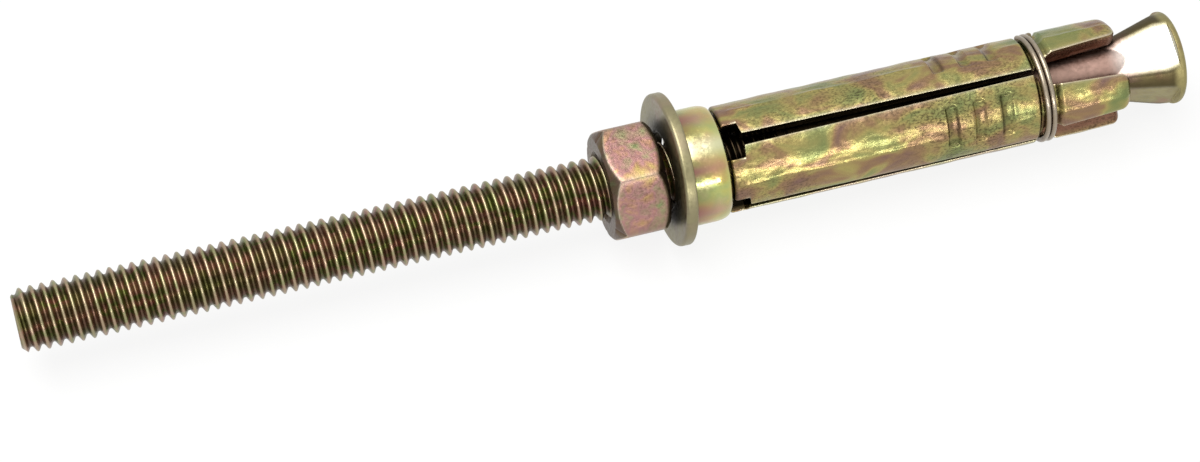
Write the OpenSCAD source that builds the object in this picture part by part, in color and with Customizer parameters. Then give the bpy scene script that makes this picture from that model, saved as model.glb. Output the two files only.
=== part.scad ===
// Shield anchor with a projecting bolt: four steel shield segments hooked into a pressed
// ferrule and tied by a wire ring, round a bolt whose tapered head spreads them.
// The axis lies along X, the threaded end at -X and the tapered head at +X. X is 0 where
// the shield reaches its full radius. Round parts are drawn along Z and then laid down.

/* [Bolt] */
// Outer diameter of the thread, a little under its nominal 6 as rolled
thread_d = 5.8; // [5.7:0.05:6]
// Diameter of the plain blank that the thread is rolled on
blank_d = 5.35; // [5.0:0.05:5.4]
// Length of thread that stands free beyond the nut
free_length = 53; // [20:1:120]
// Chamfer at the free end of the thread
end_chamfer = 0.6; // [0.2:0.1:1]
// Diameter of the head's rim
rim_d = 8.6; // [8.0:0.1:9.2]
// Width of the rim band at the end of the head
rim_w = 1.6; // [1.0:0.1:2.5]
// Edge radius of the rim
rim_edge = 0.45; // [0.1:0.05:0.6]
// Slope of the four ridges of the taper, radius over length
ridge_slope = 0.30; // [0.22:0.01:0.36]
// Distance of a flat from the axis, as a share of the ridge radius
flat_share = 0.80; // [0.74:0.01:0.9]
// Distance from the segment tips to the rim band
head_gap = 4.0; // [3:0.1:6]

/* [Nut] */
// Width across the flats
nut_af = 9.9; // [9.5:0.1:11]
// Thickness of the nut
nut_h = 5.2; // [4:0.1:7]
// Angle of the corner chamfers, from the end faces
nut_chamfer = 30; // [15:1:40]
// Turn of the hexagon about the axis
nut_clock = 36; // [0:1:59]

/* [Washer] */
// Outer diameter of the washer
washer_d = 14; // [12.5:0.1:16]
// Bore of the washer
washer_bore = 7.0; // [6.6:0.1:7.4]
// Thickness of the washer
washer_t = 1.1; // [0.8:0.1:1.6]
// Edge radius left by blanking
washer_edge = 0.35; // [0.1:0.05:0.4]
// Lean of the loose washer
washer_lean = 3; // [0:0.5:4]
// Clock angle of the rim that leans towards the ferrule
washer_lean_at = 16; // [0:1:359]
// Rise of the loose washer, which stands on its rim under the bolt
washer_rise = 0.35; // [0:0.05:0.45]

/* [Ferrule] */
// Length of the ferrule
ferrule_l = 3.7; // [3.5:0.1:6]
// Sheet thickness
ferrule_t = 0.7; // [0.5:0.05:0.8]
// Radial catch of its mouth on the hooks of the segments
hook_catch = 0.3; // [0.2:0.05:0.5]
// Length over which the shoulder curves in
shoulder_l = 1.3; // [0.8:0.1:1.8]
// Drop of the shoulder in that length
shoulder_drop = 0.45; // [0.2:0.05:0.6]

/* [Shield] */
// Outer diameter of the shield
shield_d = 9.8; // [9.6:0.1:10.2]
// Wall of a segment
shield_t = 1.5; // [1.3:0.05:1.7]
// Length of the segments beyond the ferrule
shield_l = 37.2; // [34:0.2:70]
// Wall of a segment's neck, where it enters the ferrule
neck_t = 0.6; // [0.4:0.05:0.8]
// Clock angle of the first slot, from straight up towards the front
slot_clock = 20; // [0:1:89]
// Slot width at the ferrule
slot_wide = 1.1; // [0.6:0.05:1.3]
// Slot width at the tips' window
slot_narrow = 0.5; // [0.3:0.05:0.8]
// Half angle of the square notch at the ferrule end of each slot
notch_half = 20; // [16:1:22]
// Length of the notch
notch_l = 1.2; // [0.8:0.1:2]
// Length of the window at the tip end of each slot
window_l = 8.6; // [8:0.1:12]
// Half angle of the window, halfway along it
window_half = 20.5; // [16:0.5:22]
// Opening of the window towards the tips
window_splay = 4; // [2:0.5:6]
// Radius of the outer edge at the tips
tip_round = 1.0; // [0.4:0.1:1.1]
// Depth of the pressed dents
dent_depth = 0.38; // [0.2:0.02:0.5]
// Radius of the tool that pressed them
dent_r = 0.62; // [0.5:0.02:0.8]
// Distance between the dents
dent_step = 2.6; // [2:0.1:3]
// Distance of the middle dent from the tips
dent_place = 14.6; // [13.5:0.1:16]

/* [Spring ring] */
// Wire diameter of the ring
wire_d = 0.55; // [0.45:0.05:0.8]
// Outer diameter of the ring
ring_d = 10.06; // [9.9:0.02:10.4]
// Turns of wire
ring_turns = 2; // [1:1:3]
// Gap between the turns
turn_gap = 0.02; // [0.01:0.01:0.1]
// Distance of the ring from the tips
ring_place = 7.8; // [7:0.1:10]

/* [Clearances] */
// Radial play of the nut on the bolt
nut_play = 0.05; // [0.02:0.01:0.1]
// Play between the segments and the ferrule's mouth
mouth_play = 0.15; // [0.1:0.01:0.25]
// Play of a segment's hook inside the ferrule
hook_play = 0.15; // [0.1:0.01:0.2]
// Gap between the ferrule's mouth and the segments' shoulders
neck_gap = 0.6; // [0.4:0.05:1]
// Gap between the leaning washer and the ferrule
washer_gap = 0.35; // [0.3:0.05:0.5]
// Gap between the nut and the washer
nut_gap = 0.55; // [0.5:0.05:1.2]
// Play of the ring in its groove
groove_play = 0.02; // [0.01:0.01:0.05]

/* [Hidden] */
$fn = 96;

// Colours of the finishes
bronze = "#7d6a45";
rosy = "#b98a66";
olive = "#8f8a66";
yellow = "#b7a94a";
gold = "#a89b55";
steel = "#8d8478";

// Steps in an arc, and the overlap of a cut past a face
arc_steps = 6;
eps = 0.01;

// Radii that follow from the diameters
thread_r = thread_d / 2;
blank_r = blank_d / 2;
rim_r = rim_d / 2;
shield_r = shield_d / 2;
shield_in = shield_r - shield_t;
neck_r = shield_in + neck_t;
mouth_r = neck_r + mouth_play;
hook_r = mouth_r + hook_catch;
ferrule_in = hook_r + hook_play;
ferrule_r = ferrule_in + ferrule_t;
// A length that reaches past any cut
over = shield_l + 2 * ferrule_l;

// Places along the axis, from the tips back to the free end
head_x = shield_l + head_gap;
head_end = head_x + rim_w;
shoulder_round = 0.3;
neck_front = -shoulder_round;
ferrule_front = neck_front - neck_gap;
ferrule_back = ferrule_front - ferrule_l;
hook_front = ferrule_front - ferrule_t - hook_play;
hook_back = ferrule_back + ferrule_t + hook_play;
washer_x = ferrule_back - washer_gap - washer_t / 2;
nut_front = washer_x - washer_t / 2 - nut_gap;
nut_back = nut_front - nut_h;
thread_end = nut_back - nut_play;
free_end = nut_back - free_length;

// Ring and groove
wire_r = wire_d / 2;
wire_path_r = ring_d / 2 - wire_r;
groove_r = wire_path_r - wire_r - groove_play;
turn_pitch = wire_d + turn_gap;
ring_x = shield_l - ring_place;
ring_half = (ring_turns * turn_pitch + wire_d) / 2;
groove_back = ring_x - ring_half - 5 * groove_play;
groove_front = ring_x + ring_half + 5 * groove_play;
groove_flank = 0.3;

// Lays a shape drawn along Z down on X: clock angle 0 points up and 90 to the front.
module lie_down() {
    rotate([0, 90, 0]) rotate([0, 0, 180]) children();
}

// Points of a quarter circle from angle a0 to a1 about (cx, cy)
function arc(cx, cy, r, a0, a1) =
    [for (i = [0:arc_steps]) let(a = a0 + (a1 - a0) * i / arc_steps) [cx + r * cos(a), cy + r * sin(a)]];

// The head's turned form, from the tip of its cone to the flat end
module head_turned() {
    rotate_extrude() polygon(concat(
        [[0, head_x - rim_r / ridge_slope], [rim_r, head_x]],
        arc(rim_r - rim_edge, head_end - rim_edge, rim_edge, 0, 90),
        [[0, head_end]]));
}

// What is pressed off a side of the taper to leave one flat, up to the rim band
module flat_cut(clock) {
    lean = atan(flat_share * ridge_slope);
    rotate([0, 0, clock]) translate([flat_share * rim_r, 0, head_x]) rotate([0, lean, 0])
        translate([0, -over / 2, -over]) cube([over, over, over]);
}

module taper_bolt() {
    color(bronze) lie_down() {
        difference() {
            head_turned();
            for (i = [0:3]) flat_cut(slot_clock + 90 * i);
        }
        translate([0, 0, free_end + end_chamfer]) cylinder(r = blank_r, h = head_x - free_end - end_chamfer);
        translate([0, 0, free_end + end_chamfer])
            cylinder(r = thread_r, h = thread_end - free_end - end_chamfer);
        translate([0, 0, free_end]) cylinder(r1 = thread_r - end_chamfer, r2 = thread_r, h = end_chamfer);
    }
}

// The envelope that the nut's corners are turned to
module nut_envelope() {
    flat_r = nut_af / 2 - nut_play;
    corner_r = nut_af / 2 / cos(30);
    drop = (corner_r - flat_r) * tan(nut_chamfer);
    rotate_extrude() polygon([
        [0, nut_back], [flat_r, nut_back], [corner_r, nut_back + drop],
        [corner_r, nut_front - drop], [flat_r, nut_front], [0, nut_front]]);
}

module hex_nut() {
    bore_r = blank_r + nut_play;
    sink = thread_r + 4 * nut_play - bore_r;
    color(rosy) lie_down() difference() {
        intersection() {
            nut_envelope();
            rotate([0, 0, nut_clock]) translate([0, 0, nut_back])
                cylinder(r = nut_af / 2 / cos(30), h = nut_h, $fn = 6);
        }
        translate([0, 0, nut_back - eps]) cylinder(r = bore_r, h = nut_h + 2 * eps);
        translate([0, 0, nut_back - eps]) cylinder(r1 = bore_r + sink + eps, r2 = bore_r, h = sink + eps);
        translate([0, 0, nut_front - sink]) cylinder(r1 = bore_r, r2 = bore_r + sink + eps, h = sink + eps);
    }
}

module washer() {
    r = washer_d / 2;
    half = washer_t / 2;
    edge = min(washer_edge, half - eps);
    color(olive) translate([0, 0, washer_rise]) lie_down() translate([0, 0, washer_x])
        rotate([0, 0, washer_lean_at]) rotate([0, -washer_lean, 0]) rotate_extrude() polygon(concat(
            [[washer_bore / 2, -half]],
            arc(r - edge, -half + edge, edge, -90, 0),
            arc(r - edge, half - edge, edge, 0, 90),
            [[washer_bore / 2, half]]));
}

// The ferrule's section: a cup whose floor clears the bolt and whose mouth is pressed in
// over the hooks of the segments.
module ferrule() {
    floor_r = thread_r + mouth_play;
    edge = ferrule_t / 2;
    color(yellow) lie_down() rotate_extrude() polygon(concat(
        [[floor_r, ferrule_back]],
        arc(ferrule_r - edge, ferrule_back + edge, edge, -90, 0),
        [for (i = [0:arc_steps]) let(t = i / arc_steps)
            [ferrule_r - shoulder_drop * (1 - cos(90 * t)),
             ferrule_front - shoulder_l + shoulder_l * sin(90 * t)]],
        [[mouth_r, ferrule_front], [mouth_r, ferrule_front - ferrule_t],
         [ferrule_in, ferrule_front - ferrule_t], [ferrule_in, ferrule_back + ferrule_t],
         [floor_r, ferrule_back + ferrule_t]]));
}

// The section that all four segments share: hook, neck, wall, ring groove and rounded tip
module shield_turned() {
    rotate_extrude() polygon(concat(
        [[shield_in, hook_back], [hook_r, hook_back], [hook_r, hook_front], [neck_r, hook_front],
         [neck_r, neck_front]],
        arc(shield_r - shoulder_round, 0, shoulder_round, -90, 0),
        [[shield_r, groove_back - groove_flank], [groove_r, groove_back],
         [groove_r, groove_front], [shield_r, groove_front]],
        arc(shield_r - tip_round, shield_l - tip_round, tip_round, 0, 90),
        [[shield_in, shield_l]]));
}

// Half of a slot, on the side that side = 1 or -1 names, with all that lies beyond it
module slot_side(side) {
    run = shield_l - window_l;
    lean = atan((slot_wide - slot_narrow) / 2 / run);
    rotate([0, 0, 45 * side]) mirror([0, side < 0 ? 1 : 0, 0])
        translate([0, -slot_wide / 2, 0]) rotate([-lean, 0, 0])
            translate([-over, 0, -over]) cube([2 * over, over, over + shield_l + over]);
}

// The square notch beside the slot, from the hook to a little way along the wall
module notch_side(side) {
    rotate([0, 0, (45 - notch_half) * side]) mirror([0, side < 0 ? 1 : 0, 0])
        translate([-over, 0, hook_back - over]) cube([2 * over, over, over - hook_back + notch_l]);
}

// The window at the tip end of the slot, its sides splayed towards the tips
module window_side(side) {
    rotate([0, 0, (45 - window_half) * side]) mirror([0, side < 0 ? 1 : 0, 0])
        translate([0, 0, shield_l - window_l / 2]) rotate([window_splay, 0, 0])
            translate([-over, 0, -window_l / 2]) cube([2 * over, over, over]);
}

// Three dents pressed straight across the middle of a segment
module dents() {
    for (i = [-1:1])
        translate([shield_r - dent_depth + dent_r, 0, shield_l - dent_place + dent_step * i])
            rotate([90, 0, 0]) cylinder(r = dent_r, h = shield_d, center = true, $fn = 32);
}

// One segment of the shield, centred at the given clock angle
module segment(clock) {
    color(gold) lie_down() rotate([0, 0, clock]) difference() {
        shield_turned();
        for (side = [-1, 1]) {
            slot_side(side);
            notch_side(side);
            window_side(side);
        }
        dents();
    }
}

module segment_1() { segment(slot_clock + 45); }
module segment_2() { segment(slot_clock + 135); }
module segment_3() { segment(slot_clock + 225); }
module segment_4() { segment(slot_clock + 315); }

// A closed coil of wire, swept as rings of points along a helix
module spring_ring() {
    sides = 12;
    rings = 48 * ring_turns;
    start_clock = slot_clock - 70;
    points = [for (i = [0:rings]) for (j = [0:sides - 1])
        let(turn = start_clock + 360 * ring_turns * i / rings, a = 360 * j / sides,
            r = wire_path_r + wire_r * cos(a))
        [r * cos(turn), r * sin(turn),
         ring_x + turn_pitch * ring_turns * (i / rings - 0.5) + wire_r * sin(a)]];
    walls = [for (i = [0:rings - 1]) for (j = [0:sides - 1])
        let(k = (j + 1) % sides)
        [i * sides + j, i * sides + k, (i + 1) * sides + k, (i + 1) * sides + j]];
    first = [for (j = [sides - 1:-1:0]) j];
    last = [for (j = [0:sides - 1]) rings * sides + j];
    color(steel) lie_down() polyhedron(points, concat(walls, [first, last]), convexity = 6);
}

taper_bolt();
hex_nut();
washer();
ferrule();
segment_1();
segment_2();
segment_3();
segment_4();
spring_ring();
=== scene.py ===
"""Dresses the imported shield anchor: threaded bolt, nut, washer, ferrule, four shield segments and wire ring.

Lengths inside the classes are millimetres; `Place.metres` turns them into the frame's metres.
The axis of the anchor is X. A clock angle is measured round it, 0 straight up and 90 to the front (-Y).
"""
import logging
import math
from dataclasses import dataclass, field
from enum import Enum

import bpy
import numpy as np
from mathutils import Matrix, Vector


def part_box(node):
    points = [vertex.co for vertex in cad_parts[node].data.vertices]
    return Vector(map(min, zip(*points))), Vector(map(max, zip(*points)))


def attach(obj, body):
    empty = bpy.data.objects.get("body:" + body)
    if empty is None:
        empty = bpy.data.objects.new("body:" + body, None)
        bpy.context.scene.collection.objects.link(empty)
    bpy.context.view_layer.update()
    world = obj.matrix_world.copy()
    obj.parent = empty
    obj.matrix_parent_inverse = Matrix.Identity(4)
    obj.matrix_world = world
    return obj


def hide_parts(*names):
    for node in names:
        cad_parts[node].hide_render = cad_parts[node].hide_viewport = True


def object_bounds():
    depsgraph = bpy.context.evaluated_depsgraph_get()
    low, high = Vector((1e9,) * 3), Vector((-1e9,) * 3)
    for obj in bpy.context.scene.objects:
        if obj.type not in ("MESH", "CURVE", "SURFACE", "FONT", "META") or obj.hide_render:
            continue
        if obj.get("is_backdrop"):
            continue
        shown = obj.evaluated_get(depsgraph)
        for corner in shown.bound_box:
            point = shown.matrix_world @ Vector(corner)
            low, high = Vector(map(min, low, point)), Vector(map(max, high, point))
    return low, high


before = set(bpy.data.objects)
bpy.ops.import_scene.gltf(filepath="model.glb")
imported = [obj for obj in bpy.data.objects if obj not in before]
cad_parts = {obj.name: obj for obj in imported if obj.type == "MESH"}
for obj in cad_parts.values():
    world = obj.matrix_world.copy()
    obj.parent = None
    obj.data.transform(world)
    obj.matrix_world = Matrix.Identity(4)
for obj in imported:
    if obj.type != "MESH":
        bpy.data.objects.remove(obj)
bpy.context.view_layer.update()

LOG = logging.getLogger("sleeve_anchor")
MM = 0.001
IMAGE = (1200, 462)
SENSOR_MM = 36.0
WIRE_R = 0.275
# Shares stored at each point: the first paints rubbed edges and also painted highlights, the second paints dirt and
# also painted shade in hollows and covered parts, the third paints a finish's second colour.
MARKS = ("wear", "grime", "tint")


class Axis(Enum):
    """Which directions of a grid of points close on themselves."""

    NONE = (False, False)
    AROUND = (False, True)
    BOTH = (True, True)


class Place:
    """Turns the anchor's own coordinates into the frame's."""

    @staticmethod
    def metres(x: np.ndarray, radius: np.ndarray, clock: np.ndarray) -> np.ndarray:
        """Cylinder coordinates to points: along X, and radius towards the clock angle.

        Args:
            x: place along the axis, mm.
            radius: distance from the axis, mm.
            clock: angle from straight up towards the front, radians.

        Returns:
            Points in metres, with the inputs' shape and one more axis of 3.
        """
        x, radius, clock = np.broadcast_arrays(x, radius, clock)
        return np.stack([x, -radius * np.sin(clock), radius * np.cos(clock)], axis=-1) * MM

    @staticmethod
    def span(node: str) -> tuple[float, float]:
        """Where a CAD node starts and ends along X, mm."""
        low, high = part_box(node)
        return low[0] / MM, high[0] / MM


def soft_min(a: np.ndarray, b: np.ndarray, k: float) -> np.ndarray:
    """The lesser of a and b with the crossing rounded: minus k times the log of the summed exponentials.

    Args:
        a: first surface.
        b: second surface.
        k: rounding, in the surfaces' unit.

    Returns:
        The rounded lower envelope.
    """
    low = np.minimum(a, b)
    return low - k * np.log(np.exp(-(a - low) / k) + np.exp(-(b - low) / k))


def soft_max(a: np.ndarray, b: np.ndarray, k: float) -> np.ndarray:
    """The greater of a and b with the crossing rounded."""
    return -soft_min(-a, -b, k)


def ramp(x: np.ndarray, start: float, end: float) -> np.ndarray:
    """Eased step from 0 at start to 1 at end: 3t squared minus 2t cubed."""
    t = np.clip((x - start) / (end - start), 0.0, 1.0)
    return t * t * (3.0 - 2.0 * t)


def quarter(x0: float, r0: float, radius: float, first: float, last: float, steps: int) -> np.ndarray:
    """Points of an arc in a section, columns x and r.

    Args:
        x0: centre along the axis, mm.
        r0: centre's distance from the axis, mm.
        radius: of the arc, mm.
        first: start angle from the axis, degrees.
        last: end angle, degrees.
        steps: number of points.

    Returns:
        Array of steps rows: x0 + radius cos, r0 + radius sin.
    """
    a = np.radians(np.linspace(first, last, steps))
    return np.stack([x0 + radius * np.cos(a), r0 + radius * np.sin(a)], axis=-1)


class Skin:
    """Makes closed meshes out of grids of points."""

    @staticmethod
    def faces(rows: int, columns: int, closed: Axis) -> np.ndarray:
        """Quads of a grid whose points are numbered row by row.

        Args:
            rows: number of rows.
            columns: number of columns.
            closed: which directions join their ends.

        Returns:
            Array of quads.
        """
        row_wrap, column_wrap = closed.value
        i = np.arange(rows if row_wrap else rows - 1)[:, None]
        j = np.arange(columns if column_wrap else columns - 1)[None, :]
        i2, j2 = (i + 1) % rows, (j + 1) % columns
        quads = np.stack(np.broadcast_arrays(
            i * columns + j, i2 * columns + j, i2 * columns + j2, i * columns + j2), axis=-1)
        return quads.reshape(-1, 4)

    @staticmethod
    def outward(points: np.ndarray, quads: np.ndarray) -> np.ndarray:
        """Turns the quads over if the volume they enclose comes out negative: a sum of tetrahedra."""
        a, b, c, d = (points[quads[:, n]] for n in range(4))
        volume = np.einsum("ij,ij->", a, np.cross(b, c)) + np.einsum("ij,ij->", a, np.cross(c, d))
        return quads if volume > 0 else quads[:, ::-1]

    @classmethod
    def capped(cls, points: np.ndarray, quads: np.ndarray, first: np.ndarray, last: np.ndarray) -> list:
        """The quads turned outward and the two end caps wound to suit them.

        Args:
            points: one row a point.
            quads: the sides, as faces() gives them.
            first: point numbers round the first end.
            last: point numbers round the last end, the same way round.

        Returns:
            Lists of point numbers.
        """
        sides = cls.outward(points, quads)
        if sides[0, 0] == quads[0, 0]:
            return sides.tolist() + [first.tolist(), last[::-1].tolist()]
        return sides.tolist() + [first[::-1].tolist(), last.tolist()]

    @classmethod
    def build(cls, name: str, points: np.ndarray, closed: Axis, sharp: float = 50.0,
              **marks: np.ndarray) -> bpy.types.Object:
        """A shaded object from a grid; rows that don't close on themselves get a flat cap at each end.

        Args:
            name: of the object.
            points: grid of points, rows by columns by 3, metres.
            closed: which directions join their ends.
            sharp: angle above which an edge stays sharp, degrees.
            marks: the shares named in MARKS, rubbed edges with painted highlights, dirt with painted shade, and tint, 0
                to 1 at each point, in a grid that the points' grid can hold.

        Returns:
            The object, linked to the scene.
        """
        rows, columns = points.shape[:2]
        flat = points.reshape(-1, 3)
        quads = cls.faces(rows, columns, closed)
        if closed.value[0]:
            faces = cls.outward(flat, quads).tolist()
        else:
            ring = np.arange(columns)
            faces = cls.capped(flat, quads, ring, ring + (rows - 1) * columns)
        return cls.finish(name, flat, faces, sharp, **{
            mark: np.broadcast_to(value, (rows, columns)).reshape(-1) for mark, value in marks.items()})

    @staticmethod
    def finish(name: str, points: np.ndarray, faces: list, sharp: float,
               **marks: np.ndarray) -> bpy.types.Object:
        """Puts points and faces into an object, smooth but for its sharp edges.

        Args:
            name: of the object.
            points: one row a point, metres.
            faces: lists of point numbers.
            sharp: angle above which an edge stays sharp, degrees.
            marks: the shares named in MARKS, rubbed edges with painted highlights, dirt with painted shade, and tint, 0
                to 1 at each point.

        Returns:
            The object, linked to the scene.
        """
        mesh = bpy.data.meshes.new(name)
        mesh.from_pydata(points, [], faces)
        mesh.shade_smooth()
        mesh.set_sharp_from_angle(angle=math.radians(sharp))
        for mark in MARKS:
            layer = mesh.attributes.new(mark, "FLOAT", "POINT")
            layer.data.foreach_set("value", np.clip(marks.get(mark, np.zeros(len(points))), 0, 1).astype(np.float32))
        mesh.validate()
        piece = bpy.data.objects.new(name, mesh)
        bpy.context.scene.collection.objects.link(piece)
        LOG.info("%s: %d points, %d faces", name, len(points), len(faces))
        return piece


def linear(code: str) -> tuple[float, float, float, float]:
    """An sRGB hex colour as linear red, green, blue and full alpha."""
    channels = [int(code[n:n + 2], 16) / 255 for n in (1, 3, 5)]
    return (*[c / 12.92 if c <= 0.04045 else ((c + 0.055) / 1.055) ** 2.4 for c in channels], 1.0)


def add_node(tree: bpy.types.NodeTree, kind: str, settings: dict | None = None,
             links: dict | None = None) -> bpy.types.Node:
    """Adds a node, sets its properties or sockets, and links its inputs.

    Args:
        tree: the node tree.
        kind: the node's type name.
        settings: property name, or socket name or number, to value.
        links: socket name or number to the output socket that feeds it.

    Returns:
        The new node.
    """
    node = tree.nodes.new(kind)
    for key, value in (settings or {}).items():
        if isinstance(key, str) and hasattr(node, key):
            setattr(node, key, value)
        else:
            node.inputs[key].default_value = value
    for key, source in (links or {}).items():
        tree.links.new(source, node.inputs[key])
    return node


@dataclass(frozen=True)
class ZincPlate:
    """Zinc-plated steel with a yellow chromate film: a soft metal shine in drifting bands of colour.

    The film is thinner and thicker in patches a few millimetres across, which read as yellow, green
    and rose. The zinc under it is finely pitted, rubbed bright on edges, and dark where dirt and oil
    stay or the steel was sheared. The same bright colour is also laid on as painted highlights, and
    the same dark colour as painted shade in hollows and covered parts.
    """

    name: str
    bands: tuple[tuple[float, str], ...]
    patch_mm: float = 3.0
    stretch: float = 1.0
    fleck: str = "#4a3f2c"
    fleck_share: float = 0.35
    fleck_mm: float = 0.3
    # bright: colour of rubbed edges and of painted highlights; dark: colour of dirt and of painted shade.
    bright: str = "#d8cfa8"
    dark: str = "#2a2319"
    second: str = "#a07f76"
    roughness: float = 0.36
    pits: float = 0.5
    sway_mm: float = 0.0
    swirl: float = 0.3
    seed: float = 0.0

    def material(self) -> bpy.types.Material:
        """The finish as a node material on Object coordinates.

        Returns:
            The material.
        """
        made = bpy.data.materials.new(self.name)
        made.use_nodes = True
        tree = made.node_tree
        tree.nodes.clear()
        where = add_node(tree, "ShaderNodeTexCoord").outputs["Object"]
        place = add_node(tree, "ShaderNodeMapping", {
            "Scale": (1 / MM * self.stretch, 1 / MM, 1 / MM), "Location": (self.seed, self.seed, 0)},
            {"Vector": where}).outputs["Vector"]
        marks = {mark: add_node(tree, "ShaderNodeAttribute", {"attribute_name": mark}).outputs["Fac"]
                 for mark in MARKS}
        patches = self._noise(tree, place, self.patch_mm, 2.5, self.swirl)
        grain = self._noise(tree, place, self.fleck_mm, 3.0, 0.0)
        clouds = self._noise(tree, place, 2.2 * self.patch_mm, 1.0, 0.0)
        bands = self._ramp(tree, patches, self.bands)
        tinted = self._mix(tree, marks["tint"], bands, self.second)
        speck = self._ramp(tree, grain, ((0.34, "#ffffff"), (0.54, "#000000")))
        often = self._ramp(tree, clouds, ((0.35, "#303030"), (0.62, "#ffffff")))
        share = self._product(tree, self._product(tree, speck, often), self.fleck_share)
        toned = self._mix(tree, share, tinted, self.fleck)
        # Rubbed edges and painted highlights take the bright colour, then dirt and painted shade take the dark colour.
        rubbed_and_lit = self._mix(tree, self._product(tree, marks["wear"], 0.85), toned, self.bright)
        colour = self._mix(tree, marks["grime"], rubbed_and_lit, self.dark)
        rough = add_node(tree, "ShaderNodeMapRange", {
            "From Min": 0.3, "From Max": 0.7, "To Min": self.roughness - 0.06,
            "To Max": self.roughness + 0.12}, {"Value": grain}).outputs[0]
        sway = self._noise(tree, place, 0.9, 1.0, 0.0)
        slow = add_node(tree, "ShaderNodeBump", {"Strength": 1.0, "Distance": self.sway_mm * MM},
                        {"Height": sway}).outputs["Normal"]
        fine = add_node(tree, "ShaderNodeBump", {"Strength": self.pits, "Distance": 0.02 * MM},
                        {"Height": grain, "Normal": slow}).outputs["Normal"]
        shader = add_node(tree, "ShaderNodeBsdfPrincipled", {
            "Metallic": 1.0}, {"Base Color": colour, "Roughness": rough, "Normal": fine})
        add_node(tree, "ShaderNodeOutputMaterial", links={"Surface": shader.outputs["BSDF"]})
        return made

    @staticmethod
    def _noise(tree: bpy.types.NodeTree, place: bpy.types.NodeSocket, size_mm: float, detail: float,
               swirl: float) -> bpy.types.NodeSocket:
        """Noise whose blotches are about size_mm across."""
        return add_node(tree, "ShaderNodeTexNoise", {
            "Scale": 1 / size_mm, "Detail": detail, "Roughness": 0.62, "Distortion": swirl},
            {"Vector": place}).outputs["Fac"]

    @staticmethod
    def _mix(tree: bpy.types.NodeTree, share: bpy.types.NodeSocket, colour: bpy.types.NodeSocket,
             other: str) -> bpy.types.NodeSocket:
        """A colour with a share of another painted over it."""
        return add_node(tree, "ShaderNodeMix", {"data_type": "RGBA", 7: linear(other)},
                        {0: share, 6: colour}).outputs[2]

    @staticmethod
    def _product(tree: bpy.types.NodeTree, a: bpy.types.NodeSocket,
                 b: bpy.types.NodeSocket | float) -> bpy.types.NodeSocket:
        """The product of two values."""
        if isinstance(b, float):
            return add_node(tree, "ShaderNodeMath", {"operation": "MULTIPLY", 1: b}, {0: a}).outputs[0]
        return add_node(tree, "ShaderNodeMath", {"operation": "MULTIPLY"}, {0: a, 1: b}).outputs[0]

    @classmethod
    def _ramp(cls, tree: bpy.types.NodeTree, value: bpy.types.NodeSocket,
              stops: tuple[tuple[float, str], ...]) -> bpy.types.NodeSocket:
        """A value turned into colour."""
        ramp_node = add_node(tree, "ShaderNodeValToRGB", links={"Fac": value})
        cls._fill(ramp_node.color_ramp, stops)
        return ramp_node.outputs["Color"]

    @staticmethod
    def _fill(color_ramp: bpy.types.ColorRamp, stops: tuple[tuple[float, str], ...]) -> None:
        """Sets the stops of a colour ramp."""
        while len(color_ramp.elements) < len(stops):
            color_ramp.elements.new(0.5)
        for element, (position, code) in zip(color_ramp.elements, stops):
            element.position = position
            element.color = linear(code)


# Its bright colour paints the crests as wear and painted highlight; its dark colour is painted shade in the roots and
# under the shield.
THREAD_FILM = ZincPlate(
    "rolled_thread_chromate",
    ((0.32, "#68683a"), (0.42, "#7c6c4e"), (0.50, "#8e6a5a"), (0.57, "#667238"), (0.66, "#885f52")),
    patch_mm=3.0, fleck="#33291c", fleck_share=0.3, bright="#cfc3a4", roughness=0.30, pits=0.25)
# Its near-white bright colour is a painted highlight on the head's upward flat.
HEAD_FILM = ZincPlate(
    "forged_head_chromate",
    ((0.30, "#8a8258"), (0.45, "#988e60"), (0.55, "#8f845a"), (0.70, "#94785c")),
    patch_mm=2.5, fleck="#5e5238", fleck_share=0.15, bright="#e9eae4", dark="#3a3020", second="#a28478",
    roughness=0.38, pits=0.25, sway_mm=0.03, seed=11.0)
NUT_FILM = ZincPlate(
    "machined_nut_chromate",
    ((0.30, "#9e8c52"), (0.41, "#9c7a5e"), (0.50, "#936d6a"), (0.60, "#8a7862"), (0.70, "#728056")),
    patch_mm=2.3, fleck="#54402f", fleck_share=0.6, fleck_mm=0.22, bright="#d8d0b8", dark="#474030",
    roughness=0.36, pits=0.8, sway_mm=0.04, seed=23.0)
WASHER_FILM = ZincPlate(
    "blanked_washer_chromate",
    ((0.30, "#7a745a"), (0.45, "#888264"), (0.58, "#827a64"), (0.70, "#8d7d6c")),
    patch_mm=3.5, fleck="#40392c", fleck_share=0.3, bright="#99916c", roughness=0.36, pits=0.4, seed=31.0)
# Its bright colour paints the rim's wear and a painted highlight band along the top.
FERRULE_FILM = ZincPlate(
    "pressed_ferrule_chromate",
    ((0.30, "#c09c6c"), (0.40, "#bfaa68"), (0.50, "#bcba6c"), (0.60, "#acb674"), (0.70, "#bab680")),
    patch_mm=3.4, fleck="#6a5c30", fleck_share=0.1, bright="#f2f0d4", second="#b87c7c", roughness=0.16,
    pits=0.08, sway_mm=0.02, seed=41.0)
# Its near-black dark colour is the painted shade in the slots, the groove and inside the shield, and the dents' dirt
# and shade.
SHIELD_FILM = ZincPlate(
    "pressed_shield_chromate",
    ((0.29, "#80645a"), (0.42, "#947858"), (0.50, "#a4965e"), (0.58, "#8c8c58"), (0.71, "#748052")),
    patch_mm=3.2, stretch=0.65, fleck="#44372a", fleck_share=0.8, fleck_mm=0.17, bright="#ece4c8",
    dark="#15110b", second="#8a6552", roughness=0.25, pits=0.6, sway_mm=0.08, swirl=0.5, seed=53.0)
RING_STEEL = ZincPlate(
    "drawn_spring_wire",
    ((0.35, "#71665a"), (0.50, "#807262"), (0.65, "#786856")),
    patch_mm=2.0, fleck="#40372c", fleck_share=0.2, bright="#cabfa9", roughness=0.26, pits=0.15, seed=67.0)


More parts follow.
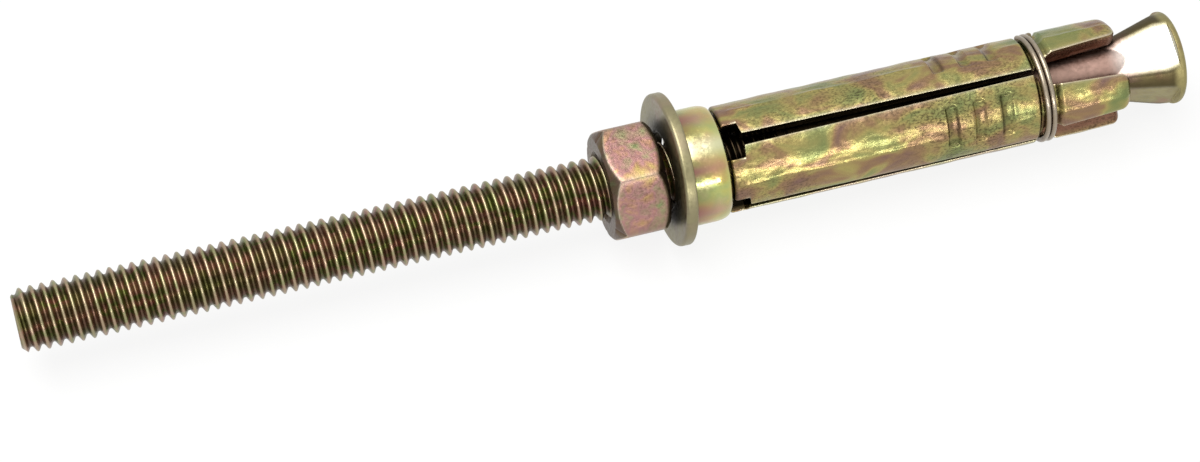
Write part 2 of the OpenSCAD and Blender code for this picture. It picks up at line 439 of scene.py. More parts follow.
@dataclass
class Bolt:
    """The bolt: a helical rolled thread, the plain blank, and the tapered head with four flats."""

    crest_r: float = 2.9
    pitch: float = 1.0
    depth: float = 0.52
    blank_r: float = 2.675
    end_chamfer: float = 0.6
    thread_end: float = 6.0
    run_out: float = 2.0
    rim_r: float = 4.3
    rim_w: float = 1.6
    rim_band: float = 0.6
    rim_edge: float = 0.45
    ridge_slope: float = 0.30
    flat_share: float = 0.82
    flats_clock: float = 20.0
    around: int = 96
    head_around: int = 256

    def __post_init__(self) -> None:
        """Reads the bolt's two ends, and where the shield covers it, from the frame."""
        self.free_end, self.head_end = Place.span("taper_bolt")
        self.cover_x = Place.span("ferrule")[1]
        self.tips_x = Place.span("segment_1")[1]

    def thread_depth(self, t: np.ndarray) -> np.ndarray:
        """Depth below the crest at t pitches from it: a 60 degree flank between a rounded crest and root.

        Args:
            t: distance from the crest's middle, in pitches, from -0.5 to 0.5.

        Returns:
            Depth in mm.
        """
        flank = (np.abs(t) - 0.09) * self.pitch * math.sqrt(3.0)
        rounded = 0.05 * self.pitch * np.log1p(np.exp(flank / (0.05 * self.pitch)))
        return soft_min(rounded, np.full_like(rounded, self.depth), 0.04 * self.pitch)

    def thread_mesh(self) -> bpy.types.Object:
        """The thread as a sheared grid: each row follows the helix, one pitch further on after a turn.

        Point (i, j) lies at x = start + pitch (step i + turn j), and points that would pass an end
        are laid in that end's plane, so that the grid closes there.

        Returns:
            The thread's object.
        """
        steps = np.array([-0.42, -0.34, -0.26, -0.19, -0.13, -0.07, 0.0, 0.07, 0.13, 0.19, 0.26, 0.34,
                          0.42, 0.5])
        turns = int(math.ceil((self.thread_end - self.free_end) / self.pitch)) + 2
        t = (np.arange(turns)[:, None] + steps[None, :]).reshape(-1)
        depth = np.tile(self.thread_depth(np.where(steps > 0.45, 0.5, steps)), turns)
        clock = np.linspace(0.0, 2 * math.pi, self.around, endpoint=False)
        x = self.free_end + self.pitch * (t[:, None] - 1.0 + clock[None, :] / (2 * math.pi))
        fade = ramp(x, self.thread_end, self.thread_end - self.run_out)
        radius = self.blank_r + (self.crest_r - depth[:, None] - self.blank_r) * fade
        radius = soft_min(radius, self.crest_r - self.end_chamfer + (x - self.free_end), 0.03)
        before = np.clip(self.free_end - x, 0.0, None) / self.pitch
        after = np.clip(x - self.thread_end, 0.0, None) / self.pitch
        end_r = self.crest_r - self.end_chamfer - 0.03
        radius = np.where(before > 0, end_r * np.clip(1.0 - 0.6 * before, 0.05, 1.0), radius)
        radius = np.where(after > 0, (self.blank_r - 0.05) * np.clip(1.0 - 0.3 * after, 0.05, 1.0), radius)
        x = np.clip(x, self.free_end, self.thread_end)
        points = Place.metres(x, radius, clock[None, :]).reshape(-1, 3)
        rows, columns, shift = len(t), self.around, len(steps)
        quads = Skin.faces(rows, columns, Axis.NONE)
        i = np.arange(rows - shift - 1)
        seam = np.stack([i * columns + columns - 1, (i + 1) * columns + columns - 1], axis=-1)
        joined = np.stack([seam[:, 0], seam[:, 1], (i + shift + 1) * columns, (i + shift) * columns], axis=-1)
        quads = np.concatenate([quads, joined])
        first = np.concatenate([np.arange(columns), columns * np.arange(shift, 0, -1)])
        last = np.concatenate([(rows - 1) * columns + np.arange(columns),
                               columns * np.arange(rows - 2, rows - shift - 2, -1) + columns - 1])
        faces = Skin.capped(points, quads, first, last)
        # Crests are painted lighter, as wear and as painted highlight; roots and the length inside the ferrule and
        # shield get painted shade, and the end caps a fixed share of the dark colour.
        crest = np.repeat(0.45 * (1.0 - depth / self.depth)[:, None] ** 9, columns, axis=1)
        root = np.repeat((depth / self.depth)[:, None] ** 2, columns, axis=1)
        on_end = (before > 0) | (after > 0)
        covered = ramp(x, self.cover_x - 0.6, self.cover_x)
        shade = np.where(on_end, 0.25, np.maximum(0.6 * root, 0.95 * covered))
        rubbed_and_lit = np.where(on_end, 0.0, crest * (1 - covered))
        return Skin.finish("bolt_thread", points, faces, 60.0, wear=rubbed_and_lit.reshape(-1), grime=shade.reshape(-1))

    def head_mesh(self) -> bpy.types.Object:
        """The blank and head: the greater of the blank and the lesser of the cone and the four flats.

        Along a flat the radius is the plane's distance over the cosine of the angle from its middle.

        Returns:
            The head's object.
        """
        band = self.head_end - self.rim_band
        cone_end = self.head_end - self.rim_w
        x = np.concatenate([
            np.linspace(self.thread_end - self.run_out, cone_end - 6.6, 8),
            np.linspace(cone_end - 6.5, band - 0.25, 84), np.linspace(band - 0.23, band + 0.12, 26)])
        edge = quarter(self.head_end - self.rim_edge, self.rim_r - self.rim_edge, self.rim_edge, 90, 0, 8)
        clock = np.linspace(0.0, 2 * math.pi, self.head_around, endpoint=False)
        cone = self.rim_r - self.ridge_slope * (cone_end - x)
        plane = self.flat_share * cone
        ridge = soft_min(cone, np.full_like(cone, self.rim_r), 0.05)
        off = (clock - math.radians(self.flats_clock) + math.pi / 4) % (math.pi / 2) - math.pi / 4
        flat = plane[:, None] / np.cos(off)[None, :] + 1.2 * ramp(x, band - 0.12, band + 0.1)[:, None]
        taper = soft_min(ridge[:, None], flat, 0.07)
        radius = soft_max(taper, np.full_like(taper, self.blank_r), 0.02)
        inner = np.linspace(self.rim_r - self.rim_edge, 0.15, 6)[1:]
        rim = np.concatenate([edge, np.stack([np.full_like(inner, self.head_end), inner], axis=-1)])
        rows_x = np.concatenate([x, rim[:, 0]])
        rows_r = np.concatenate([radius, np.repeat(rim[:, 1:], len(clock), axis=1)])
        points = Place.metres(rows_x[:, None], rows_r, clock[None, :])
        below = (ridge[:, None] - taper) / 0.35
        pressed = np.concatenate([np.clip(below, 0, 1), np.zeros((len(rim), len(clock)))])
        upper = np.abs((clock - math.radians(self.flats_clock) + math.pi) % (2 * math.pi) - math.pi) < math.pi / 4
        # Painted highlight: past the shield's tips the pressed flat that faces up is painted in the near-white bright
        # colour.
        wear = 0.8 * pressed * upper * ramp(rows_x, self.tips_x - 1.5, self.tips_x + 1.5)[:, None]
        rosy = (1.0 - ramp(rows_x, self.tips_x, self.tips_x + 2.0))[:, None] * (0.25 + 0.75 * upper)
        # The unpressed lands between the flats are darker, and the blank deep inside the shield gets painted shade.
        land = 0.85 * (1.0 - pressed) * (1.0 - ramp(rows_x, band - 0.9, band - 0.2))[:, None]
        shade = np.maximum(land, 1.0 - ramp(rows_x, self.tips_x - 9.5, self.tips_x - 7.5)[:, None])
        return Skin.build("bolt_head", points, Axis.AROUND, 80.0, wear=wear, tint=rosy, grime=shade)


@dataclass
class Nut:
    """A plain hexagon nut, its corners turned down at both ends and its bore countersunk."""

    across_flats: float = 9.9
    corner_clock: float = 36.0
    chamfer_deg: float = 37.4
    face_inset: float = 0.35
    bore_r: float = 2.55
    sink_r: float = 3.25
    rounding: float = 0.11

    def mesh(self) -> bpy.types.Object:
        """The nut as a closed ring of sections: the lesser of the hexagon and the turned envelope.

        Returns:
            The nut's object.
        """
        back, front = Place.span("hex_nut")
        inset = self.across_flats / 2
        corner = inset / math.cos(math.radians(30))
        slope = 1 / math.tan(math.radians(self.chamfer_deg))
        spread = np.sin(np.linspace(-math.pi / 2, math.pi / 2, 33)[:-1]) * math.radians(30)
        clock = (np.arange(6)[:, None] * math.radians(60) + spread[None, :]).reshape(-1)
        clock = clock + math.radians(self.corner_clock + 30)
        off = np.tile(spread, 6)
        hexagon = inset / np.cos(off)
        face_r = inset - self.face_inset
        drop = (corner - face_r) / slope
        turned_x = np.concatenate([np.linspace(0, drop * 1.15, 14), np.linspace(drop * 1.2, (front - back) / 2 - 0.1, 8)])
        envelope = face_r + turned_x * slope
        side = soft_min(hexagon[None, :], envelope[:, None], self.rounding)
        side = side - 0.14 * np.exp(-np.abs(np.abs(off) - math.radians(30)) / 0.05)[None, :]
        ends = np.linspace(self.sink_r + 0.05, face_r - 0.12, 6)
        bore_x = np.array([0.95, 0.70])
        half_x = np.concatenate([bore_x, [0.06, 0.0], np.zeros(6), turned_x])
        half_r = np.concatenate([
            np.full((2, len(clock)), self.bore_r), np.full((1, len(clock)), self.sink_r),
            np.full((1, len(clock)), self.sink_r + 0.03),
            np.repeat(ends[:, None], len(clock), axis=1), side])
        x = np.concatenate([back + half_x, front - half_x[::-1]])
        radius = np.concatenate([half_r, half_r[::-1]])
        points = Place.metres(x[:, None], radius, clock[None, :])
        # The corners and the chamfer's edge are painted lighter, as wear and as painted highlight.
        corner_line = 0.3 * np.exp(-np.abs(np.abs(off) - math.radians(30)) / 0.04)[None, :]
        chamfer_line = 0.75 * np.exp(-np.abs(hexagon[None, :] - envelope[:, None]) / 0.055)
        turned = ramp(hexagon[None, :] - envelope[:, None], -0.02, 0.08)
        inside = np.zeros((len(half_x) - len(side), len(clock)))
        wear = np.concatenate([inside, np.maximum(corner_line * (1 - turned), chamfer_line)])
        # Painted shade in the bore and countersink; the end faces also take 0.8 of the dark colour and the turned
        # chamfers 0.75.
        grime = np.concatenate([inside + 0.8, 0.75 * turned])
        return Skin.build("hex_nut_dressed", points, Axis.BOTH, 55.0, wear=np.concatenate([wear, wear[::-1]]),
                          grime=np.concatenate([grime, grime[::-1]]))


@dataclass
class Washer:
    """A blanked plain washer, rolled over on one edge, standing loose and leaning on the bolt."""

    radius: float = 6.985
    bore_r: float = 3.5
    thickness: float = 1.08
    lean_deg: float = 3.0
    lean_clock: float = 16.0
    rise: float = 0.35
    around: int = 192

    def mesh(self) -> bpy.types.Object:
        """The washer's rounded section turned round its axis, then leant and lifted.

        Returns:
            The washer's object.
        """
        low, high = Place.span("washer")
        half = self.thickness / 2
        roll, burr = 0.34, 0.16
        section = np.concatenate([
            [[-half + 0.08, self.bore_r], [-half, self.bore_r + 0.1]],
            np.stack([np.full(6, -half), np.linspace(self.bore_r + 0.3, self.radius - roll - 0.1, 6)], axis=-1),
            quarter(-half + roll, self.radius - roll, roll, 180, 90, 9),
            quarter(half - burr, self.radius - burr, burr, 90, 0, 6),
            np.stack([np.full(6, half), np.linspace(self.radius - burr - 0.1, self.bore_r + 0.3, 6)], axis=-1),
            [[half, self.bore_r + 0.1], [half - 0.08, self.bore_r]]])
        clock = np.linspace(0.0, 2 * math.pi, self.around, endpoint=False)
        flat = Place.metres(section[:, :1], section[:, 1:], clock[None, :])
        lean, at = math.radians(self.lean_deg), math.radians(self.lean_clock)
        out = np.array([0.0, -math.sin(at), math.cos(at)])
        along = flat @ out
        turned = flat + (math.cos(lean) - 1) * along[..., None] * out
        turned[..., 0] = flat[..., 0] * math.cos(lean) + along * math.sin(lean)
        turned = turned - math.sin(lean) * flat[..., :1] * out
        turned = turned + np.array([(low + high) / 2, 0.0, self.rise]) * MM
        # The rolled rim is painted lighter, as wear and as painted highlight; painted shade darkens the faces towards
        # the bore, where the nut and bolt stand.
        rim = 0.5 * np.exp(-np.abs(section[:, 1] - self.radius) / 0.12)[:, None] * np.ones((1, self.around))
        near_bolt = 0.7 * (1 - ramp(section[:, 1], self.bore_r + 0.6, self.radius - 1.0))[:, None]
        return Skin.build("washer_dressed", turned, Axis.BOTH, 50.0, wear=rim, grime=near_bolt)


@dataclass
class Ferrule:
    """The pressed cup that holds the segments, with a shoulder curved in towards the shield."""

    radius: float = 5.3
    sheet: float = 0.7
    mouth_r: float = 4.15
    floor_r: float = 3.05
    shoulder_l: float = 1.3
    shoulder_drop: float = 0.45
    around: int = 192
    rosy_at: tuple[tuple[float, float], ...] = ((-16.0, 12.0), (43.0, 6.0), (92.0, 14.0), (190.0, 20.0))
    # Clock angle and width, degrees, of a painted highlight band along the top of the cup.
    painted_highlight_at: tuple[float, float] = (20.0, 11.0)

    def mesh(self) -> bpy.types.Object:
        """The cup's section turned round the axis; the shoulder is a quarter of an ellipse.

        Returns:
            The ferrule's object.
        """
        back, front = Place.span("ferrule")
        a = np.radians(np.linspace(0, 90, 14))
        shoulder = np.stack([front - 0.12 - self.shoulder_l + self.shoulder_l * np.sin(a),
                             self.radius - self.shoulder_drop * (1 - np.cos(a))], axis=-1)
        lip = quarter(front - 0.25, self.radius - self.shoulder_drop - 0.22, 0.25, 50, 0, 5)
        inner = self.radius - self.sheet
        section = np.concatenate([
            [[back, self.floor_r]], quarter(back + 0.35, self.radius - 0.35, 0.35, 180, 90, 8), shoulder, lip,
            [[front, self.mouth_r + 0.08], [front - 0.08, self.mouth_r], [front - self.sheet, self.mouth_r],
             [front - self.sheet, inner], [back + self.sheet, inner], [back + self.sheet, self.floor_r]]])
        clock = np.linspace(0.0, 2 * math.pi, self.around, endpoint=False)
        pressed = 0.02 * np.cos(4 * clock + 0.7) + 0.012 * np.cos(7 * clock)
        outer = ramp(section[:, 1], inner, self.radius)[:, None]
        radius = section[:, 1:] - outer * (0.03 + pressed[None, :])
        points = Place.metres(section[:, :1], radius, clock[None, :])
        outside = (section[:, 1] > self.mouth_r + 0.1)[:, None]
        rim = 0.5 * np.exp(-np.abs(section[:, :1] - front) / 0.15) * outside
        degrees = (np.degrees(clock) + 180.0) % 360.0 - 180.0
        rosy = sum(np.exp(-((degrees - at) / wide) ** 2) for at, wide in self.rosy_at)[None, :]
        rosy = rosy * (1.1 - 0.7 * ramp(section[:, :1], back + 0.6, front))
        # Painted highlight: a pale band along the top, added to the rim's wear.
        pale = 0.6 * np.exp(-((degrees - self.painted_highlight_at[0]) / self.painted_highlight_at[1]) ** 2)[None, :]
        # Painted shade at the back beside the washer and over the whole inside of the cup.
        back_shade = 0.7 * (1 - ramp(section[:, :1], back + 0.1, back + 0.7))
        return Skin.build("ferrule_dressed", points, Axis.BOTH, 50.0, wear=np.maximum(rim, pale), tint=0.8 * rosy,
                          grime=np.maximum(back_shade, 1.0 - outside))


@dataclass
class Segment:
    """One pressed quarter of the shield, with its hook, neck, notch, slot sides, ring groove and dents."""

    number: int
    radius: float = 4.9
    inner_r: float = 3.4
    neck_r: float = 4.0
    hook_r: float = 4.45
    slot_clock: float = 20.0
    slot_wide: float = 1.1
    slot_narrow: float = 0.5
    notch_half: float = 20.0
    notch_l: float = 0.75
    full_x: float = -0.45
    window_half: float = 20.5
    window_l: float = 8.6
    window_splay: float = 4.0
    tip_round: float = 1.0
    corner_round: float = 1.1
    shoulder_round: float = 0.3
    dent_depth: float = 0.3
    dent_r: float = 0.6
    dent_half: float = 26.0
    dent_shift: float = -5.0
    dent_step: float = 2.6
    dent_place: float = 14.6
    edge: float = 0.12

    def __post_init__(self) -> None:
        """Reads the segment's ends and the ring's place from the frame, and sets its clock angle."""
        self.back, self.tip = Place.span(f"segment_{self.number}")
        ring_back, ring_front = Place.span("spring_ring")
        self.groove = (ring_back - 0.1, ring_front + 0.1)
        self.groove_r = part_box("spring_ring")[1][2] / MM - 2 * WIRE_R - 0.02
        self.hook_front = Place.span("ferrule")[1] - 0.7 - 0.15
        self.clock = math.radians(self.slot_clock + 45.0 + 90.0 * (self.number - 1))

    def stations(self) -> np.ndarray:
        """Places of the cross-sections along the axis, closer where the surface turns quickly."""
        window = self.tip - self.window_l
        dents = self.tip - self.dent_place
        marks = [
            np.linspace(self.back, self.hook_front - 0.02, 3), [self.hook_front, self.hook_front + 0.01],
            np.linspace(self.hook_front + 0.1, self.full_x - self.shoulder_round - 0.02, 4),
            self.full_x - self.shoulder_round * np.cos(np.radians(np.linspace(0, 90, 7))),
            np.linspace(self.full_x + 0.05, self.notch_l - self.edge, 7),
            self.notch_l + self.edge * np.linspace(-0.9, 1.0, 8),
            np.linspace(self.notch_l + 0.3, dents - 4.2, 46), np.arange(dents - 4.0, dents + 4.0, 0.11),
            np.linspace(dents + 4.1, window - 0.9, 5), np.arange(window - 0.8, window + 2.6, 0.07),
            np.linspace(window + 2.7, self.tip - self.tip_round - 0.1, 12),
            self.tip - self.tip_round + self.tip_round * np.sin(np.radians(np.linspace(0, 90, 12)))]
        return np.unique(np.round(np.concatenate(marks), 4))

    def outer(self, x: np.ndarray) -> np.ndarray:
        """Outer radius along the axis, before the dents: hook, neck, shoulder, wall, groove, rounded tip."""
        shoulder = self.radius - self.shoulder_round + np.sqrt(
            np.clip(self.shoulder_round ** 2 - np.clip(self.full_x - x, 0, self.shoulder_round) ** 2, 0, None))
        into_tip = np.clip(x - (self.tip - self.tip_round), 0, self.tip_round)
        tip = self.radius - self.tip_round + np.sqrt(self.tip_round ** 2 - into_tip ** 2)
        tip = np.maximum(tip, self.radius - self.tip_round * 0.97)
        wall = np.minimum(shoulder, tip) + 0.05 * ramp(x, self.groove[1], self.groove[1] + 0.2) * (
            1 - ramp(x, self.tip - 3.0, self.tip))
        low, high = self.groove
        depth = (self.radius - self.groove_r) * ramp(x, low - 0.32, low + 0.04) * (1 - ramp(x, high - 0.4, high + 0.25))
        wall = wall - depth
        neck = np.where(x < self.hook_front + 0.005, self.hook_r, self.neck_r)
        return np.where(x < self.full_x - self.shoulder_round - 0.001, neck, wall)

    def half_angle(self, x: np.ndarray, radius: np.ndarray) -> np.ndarray:
        """Half the angle that the segment fills at x and radius: what the slot, notch and window leave.

        The slot's side is a plane beside the slot's middle, so the angle it takes is the arc sine of
        its distance over the radius; notch and window sides are planes through the axis.

        Args:
            x: place along the axis, mm.
            radius: distance from the axis, mm.

        Returns:
            Angle in radians.
        """
        window = self.tip - self.window_l
        slot = (self.slot_wide + (self.slot_narrow - self.slot_wide) * np.clip(x / window, 0, 1)) / 2
        slot_half = math.radians(45) - np.arcsin(slot / radius)
        notch = np.full_like(slot_half, math.radians(45 - self.notch_half))
        splay = (x - (self.tip - self.window_l / 2)) * math.tan(math.radians(self.window_splay))
        opened = math.radians(45 - self.window_half) - np.arcsin(splay / radius)
        half = notch + (slot_half - notch) * ramp(x, self.notch_l - self.edge, self.notch_l + self.edge)
        half = half + (opened - half) * ramp(x, window - 0.05, window + 0.30)
        near_tip = np.clip((x - self.tip) / self.corner_round + 1.0, 0.0, 1.0)
        return half - self.corner_round / radius * (1.0 - np.sqrt(1.0 - near_tip ** 2))

    def mesh(self) -> bpy.types.Object:
        """The segment as a stack of closed cross-sections: outer arc, side, inner arc and side.

        Three dents are pressed across the middle: each takes its depth times one minus the square of the
        distance along the axis over the tool's half width, and fades out at its two ends. A faint
        lengthwise line left by the press is a bell curve across the segment, stronger and weaker along it.

        Returns:
            The segment's object.
        """
        x = self.stations()
        across = np.linspace(-1, 1, 111)
        across = np.sign(across) * (1 - (1 - np.abs(across)) ** 1.15)
        inner_across = np.linspace(1, -1, 33)
        turn = np.radians(np.linspace(0, 90, 6))[1:-1]
        outer = self.outer(x)[:, None]
        edge = np.minimum(self.edge, (outer - self.inner_r) * 0.3)
        half_out = self.half_angle(x[:, None], outer - edge)
        half_in = self.half_angle(x[:, None], np.full_like(outer, self.inner_r + 0.06))
        top = across[None, :] * (half_out - edge / outer)
        corner_angle = half_out - edge / outer + edge / outer * np.sin(turn)[None, :]
        corner_r = outer - edge + edge * np.cos(turn)[None, :]
        side_r = outer - edge + (self.inner_r + 0.06 - outer + edge) * np.array([0.0, 0.33, 0.67, 1.0])[None, :]
        side_angle = self.half_angle(x[:, None], side_r)
        bottom = inner_across[None, :] * (half_in - 0.06 / self.inner_r)
        angle = np.concatenate([top, corner_angle, side_angle, bottom, -side_angle[:, ::-1], -corner_angle[:, ::-1]],
                               axis=1)
        off = np.abs((x - self.tip + self.dent_place) / self.dent_step)
        off = np.where(off < 1.5, off - np.round(off), 1.0) * self.dent_step / self.dent_r
        reach = np.abs(top - math.radians(self.dent_shift)) / math.radians(self.dent_half)
        dented = np.clip(1.0 - off ** 2, 0, None)[:, None] ** 0.7 * (1.0 - ramp(reach, 0.82, 1.0))
        wall = outer - self.dent_depth * dented
        wave = self.number * 1.7
        sway = 0.018 * np.sin(0.9 * x + wave)[:, None] * np.sin(3.1 * top / 0.75 + wave) + 0.012 * np.sin(
            2.3 * x[:, None] + 5.0 * top + wave)
        clear = ramp(np.abs(x - self.tip + self.dent_place), 3.1, 4.3)[:, None]
        line = 0.095 * np.exp(-((top - 0.09 - 0.012 * np.sin(0.6 * x[:, None] + wave)) / 0.05) ** 2) * (
            0.7 + 0.3 * np.sin(0.8 * x[:, None] + wave)) * clear
        wall = wall + (sway + line) * ramp(x, 0.1, 0.6)[:, None]
        radius = np.concatenate([wall, corner_r, side_r, np.full(bottom.shape, self.inner_r), side_r[:, ::-1],
                                 corner_r[:, ::-1]], axis=1)
        points = Place.metres(x[:, None], radius, self.clock + angle)
        # The slot edges and corners are painted lighter, as wear and as painted highlight.
        corner = np.full(corner_r.shape, 0.5) * ramp(x, 0.0, 0.3)[:, None]
        rubbed_and_lit = 0.6 * np.exp(-(half_out - np.abs(top)) * self.radius / 0.12) * ramp(x, 0.0, 0.3)[:, None]
        cut = np.concatenate([np.full(side_r.shape, 1.0), np.ones(bottom.shape), np.ones(side_r.shape)], axis=1)
        cut[:, 0] = cut[:, -1] = 0.6
        past = ramp(x, self.tip - self.window_l - 0.3, self.tip - self.window_l + 0.3)[:, None]
        under = 1.0 - ramp(x, self.full_x - self.shoulder_round - 0.1, self.full_x + 0.1)[:, None]
        low, high = self.groove
        # Painted shade on the dent walls that face the middle dent; the dents' bottoms are a little darker, dirt and
        # painted shade.
        wall_slope = np.exp(-((off + 0.75) / 0.3) ** 2)[:, None] * (1.0 - ramp(reach, 0.82, 1.0))
        dent_shade = np.maximum(0.25 * dented, 0.6 * wall_slope)
        seat = (ramp(x, low - 0.1, low + 0.1) * (1 - ramp(x, high - 0.4, high + 0.1)))[:, None]
        # Painted shade on the neck under the ferrule, in the ring's groove, and over the slot sides and the inside
        # before the window; past the window the cut faces take the rust tint instead.
        on_wall = np.maximum.reduce([dent_shade, 0.8 * under + 0 * top, 0.45 * seat + 0 * top])
        grime = np.concatenate([on_wall, 0.5 * under + 0 * corner, cut * (1 - past) + 0.12 * past * cut,
                                0.5 * under + 0 * corner], axis=1)
        wear = np.concatenate([rubbed_and_lit, corner, 0 * cut, corner], axis=1)
        tint = np.concatenate([0 * top, 0.5 * past * np.ones(corner.shape), past * cut,
                               0.5 * past * np.ones(corner.shape)], axis=1)
        return Skin.build(f"segment_{self.number}_dressed", points, Axis.AROUND, 45.0, wear=wear, grime=grime,
                          tint=tint)


@dataclass
class SpringRing:
    """Two turns of wire round the shield, in four quarters that go with the segments under them.

    Each quarter ends in a tail a hair thinner than the wire, hidden in the next quarter at rest, so
    that the ring stays whole when the segments spread.
    """

    wire_r: float = WIRE_R
    turns: int = 2
    pitch: float = 0.57
    start_clock: float = -50.0
    slot_clock: float = 20.0
    tail_deg: float = 16.0
    sides: int = 14

    def __post_init__(self) -> None:
        """Reads the ring's middle and size from the frame."""
        low, high = Place.span("spring_ring")
        self.middle = (low + high) / 2
        self.path_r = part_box("spring_ring")[1][2] / MM - self.wire_r

    def quarter_mesh(self, number: int) -> bpy.types.Object:
        """The arcs of wire that lie on one segment, as tubes along the helix.

        Args:
            number: of the segment.

        Returns:
            One object with an arc for each turn.
        """
        first = self.slot_clock + 90.0 * (number - 1)
        points, faces, wear = [], [], []
        for turn in range(-1, self.turns + 1):
            start = max(first + 360.0 * turn, self.start_clock)
            stop = min(first + 360.0 * turn + 90.0, self.start_clock + 360.0 * self.turns)
            if stop - start < 1.0:
                continue
            tail = self.tail_deg if stop < self.start_clock + 360.0 * self.turns - 1 else 0.0
            clock = np.radians(np.concatenate([
                np.linspace(start, stop, 40), np.linspace(stop + 0.2, stop + tail, 8) if tail else []]))
            thin = np.where(np.degrees(clock) > stop + 0.1, 0.95, 1.0) * self.wire_r
            lead = self.middle + self.pitch * (
                (np.degrees(clock) - self.start_clock) / 360.0 - self.turns / 2)
            round_wire = np.linspace(0, 2 * math.pi, self.sides, endpoint=False)
            radius = self.path_r + thin[:, None] * np.cos(round_wire)[None, :]
            x = lead[:, None] + thin[:, None] * np.sin(round_wire)[None, :]
            arc = Place.metres(x, radius, clock[:, None])
            rows, columns = arc.shape[:2]
            ends = np.arange(columns)
            laid = Skin.capped(arc.reshape(-1, 3), Skin.faces(rows, columns, Axis.AROUND), ends,
                               ends + (rows - 1) * columns)
            base = sum(len(part) for part in points)
            faces += [[number_in + base for number_in in face] for face in laid]
            points.append(arc.reshape(-1, 3))
            wear.append(np.repeat(np.clip(np.cos(round_wire), 0, 1)[None, :] ** 4 * 0.5, rows, axis=0).reshape(-1))
        return Skin.finish(f"ring_quarter_{number}", np.concatenate(points), faces, 50.0, wear=np.concatenate(wear))


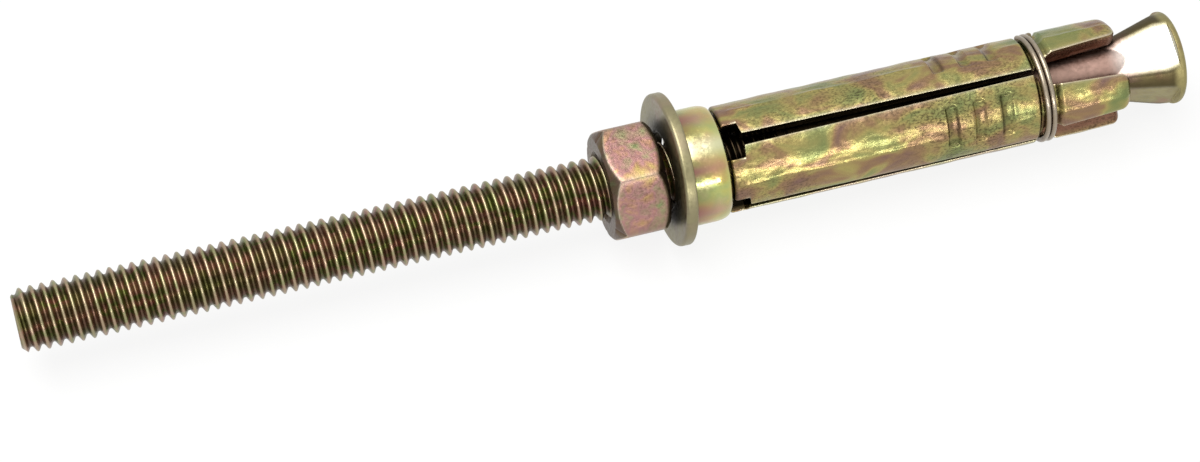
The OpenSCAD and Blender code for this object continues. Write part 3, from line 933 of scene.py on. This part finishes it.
@dataclass
class Studio:
    """The camera, the pale floor and the soft lights."""

    azimuth: float = -16.3
    elevation: float = 52.7
    focal_px: float = 3500.0
    distance_mm: float = 313.0
    look_x: float = -12.8
    look_down: float = 3.77
    floor_gap: float = 0.05

    def direction(self) -> Vector:
        """From the anchor towards the camera."""
        a, e = math.radians(self.azimuth), math.radians(self.elevation)
        return Vector((math.sin(a) * math.cos(e), -math.cos(a) * math.cos(e), math.sin(e)))

    def camera(self) -> None:
        """Makes the camera at the photograph's angle, level, aimed a little below the axis."""
        data = bpy.data.cameras.new("camera")
        data.sensor_width = SENSOR_MM
        data.lens = self.focal_px / IMAGE[0] * SENSOR_MM
        data.clip_start, data.clip_end = 0.01, 10.0
        camera = bpy.data.objects.new("camera", data)
        bpy.context.scene.collection.objects.link(camera)
        back = self.direction()
        turn = back.to_track_quat("Z", "Y")
        down = turn @ Vector((0, -1, 0))
        right = turn @ Vector((1, 0, 0))
        slope = math.atan2(-Vector((1, 0, 0)).dot(down), Vector((1, 0, 0)).dot(right))
        below = down * math.cos(slope) + right * math.sin(slope)
        aim = Vector((self.look_x * MM, 0, 0)) + below * self.look_down * MM
        camera.location = aim + back * self.distance_mm * MM
        camera.rotation_mode = "QUATERNION"
        camera.rotation_quaternion = turn
        bpy.context.scene.camera = camera

    def floor(self) -> None:
        """A wide pale floor just under the washer's rim; it shows white but takes the anchor's shadow."""
        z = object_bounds()[0][2] - self.floor_gap * MM
        size = 1.2
        mesh = bpy.data.meshes.new("floor")
        mesh.from_pydata([(-size, -size, z), (size, -size, z), (size, size, z), (-size, size, z)], [], [(0, 1, 2, 3)])
        floor = bpy.data.objects.new("floor", mesh)
        bpy.context.scene.collection.objects.link(floor)
        made = bpy.data.materials.new("floor_paper")
        made.use_nodes = True
        tree = made.node_tree
        tree.nodes.clear()
        seen = self._seen(tree)
        paper = add_node(tree, "ShaderNodeBsdfDiffuse", {"Color": linear("#f4f4f2")}).outputs[0]
        glow = add_node(tree, "ShaderNodeEmission", {"Color": linear("#ffffff"), "Strength": 1.0}).outputs[0]
        share = add_node(tree, "ShaderNodeMath", {"operation": "MULTIPLY", 1: 0.87}, {0: seen}).outputs[0]
        mixed = add_node(tree, "ShaderNodeMixShader", links={0: share, 1: paper, 2: glow}).outputs[0]
        add_node(tree, "ShaderNodeOutputMaterial", links={"Surface": mixed})
        mesh.materials.append(made)
        floor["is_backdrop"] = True

    @staticmethod
    def _seen(tree: bpy.types.NodeTree) -> bpy.types.NodeSocket:
        """1 for rays from the camera, a mirror or a lens, 0 for those that light the scene."""
        path = add_node(tree, "ShaderNodeLightPath")
        sharp = add_node(tree, "ShaderNodeMath", {"operation": "MAXIMUM"}, {
            0: path.outputs["Is Glossy Ray"], 1: path.outputs["Is Transmission Ray"]}).outputs[0]
        return add_node(tree, "ShaderNodeMath", {"operation": "MAXIMUM"}, {
            0: path.outputs["Is Camera Ray"], 1: sharp}).outputs[0]

    def world(self) -> None:
        """An even grey-white sky that shows white behind the anchor."""
        world = bpy.data.worlds.new("sky")
        bpy.context.scene.world = world
        world.use_nodes = True
        tree = world.node_tree
        tree.nodes.clear()
        seen = self._seen(tree)
        fill = add_node(tree, "ShaderNodeBackground", {"Color": linear("#ffffff"), "Strength": 0.32}).outputs[0]
        white = add_node(tree, "ShaderNodeBackground", {"Color": linear("#ffffff"), "Strength": 1.0}).outputs[0]
        mixed = add_node(tree, "ShaderNodeMixShader", links={0: seen, 1: fill, 2: white}).outputs[0]
        add_node(tree, "ShaderNodeOutputWorld", links={"Surface": mixed})

    def lamp(self, name: str, clock: float, along: float, power: float, width: float, length: float,
             reach: float = 0.5) -> None:
        """A soft rectangular lamp that faces the anchor.

        Args:
            name: of the lamp.
            clock: its angle round the axis, degrees.
            along: its lean towards the head end, degrees.
            power: in watts.
            width: across the axis, m.
            length: along the axis, m.
            reach: its distance, m.
        """
        data = bpy.data.lights.new(name, "AREA")
        data.shape = "RECTANGLE"
        data.size, data.size_y = length, width
        data.energy = power
        c, lean = math.radians(clock), math.radians(along)
        out = Vector((math.sin(lean), -math.sin(c) * math.cos(lean), math.cos(c) * math.cos(lean)))
        lamp = bpy.data.objects.new(name, data)
        bpy.context.scene.collection.objects.link(lamp)
        lamp.location = out * reach
        lamp.rotation_mode = "QUATERNION"
        lamp.rotation_quaternion = out.to_track_quat("Z", "Y")

    def build(self) -> None:
        """Sets up the whole studio."""
        self.camera()
        self.floor()
        self.world()
        self.lamp("overhead_softbox", 0.0, -14.0, 3.2, 0.36, 0.5)
        self.lamp("front_softbox", 75.0, -8.0, 1.0, 0.04, 0.5)


@dataclass
class Anchor:
    """The whole anchor, piece by piece."""

    bolt: Bolt = field(default_factory=Bolt)
    nut: Nut = field(default_factory=Nut)
    washer: Washer = field(default_factory=Washer)
    ferrule: Ferrule = field(default_factory=Ferrule)
    ring: SpringRing = field(default_factory=SpringRing)

    @staticmethod
    def dress(piece: bpy.types.Object, finish: bpy.types.Material, body: str, node: str, slot: str) -> None:
        """Gives a piece its finish and ties it to the frame.

        Args:
            piece: the object.
            finish: its material.
            body: the CAD body that it moves with.
            node: the CAD node that it stands for.
            slot: not used.
        """
        piece.data.materials.append(finish)
        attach(piece, body)
        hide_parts(node)
        LOG.info("%s rides on %s and stands for %s", piece.name, body, node)

    def build(self) -> None:
        """Makes and dresses every piece."""
        self.dress(self.bolt.thread_mesh(), THREAD_FILM.material(), "bolt", "taper_bolt", "bolt")
        self.dress(self.bolt.head_mesh(), HEAD_FILM.material(), "bolt", "taper_bolt", "bolt")
        self.dress(self.nut.mesh(), NUT_FILM.material(), "nut", "hex_nut", "nut")
        self.dress(self.washer.mesh(), WASHER_FILM.material(), "collar", "washer", "washer")
        self.dress(self.ferrule.mesh(), FERRULE_FILM.material(), "collar", "ferrule", "ferrule")
        shield, wire = SHIELD_FILM.material(), RING_STEEL.material()
        for number in (1, 2, 3, 4):
            body = f"segment_{number}"
            self.dress(Segment(number).mesh(), shield, body, body, "shield")
            self.dress(self.ring.quarter_mesh(number), wire, body, "spring_ring", "ring")


def main() -> None:
    """Builds the anchor and the studio."""
    logging.basicConfig(level=logging.INFO, format="%(name)s: %(message)s")
    bpy.context.scene.view_settings.view_transform = "Standard"
    Anchor().build()
    Studio().build()


if __name__ == "__main__":
    main()
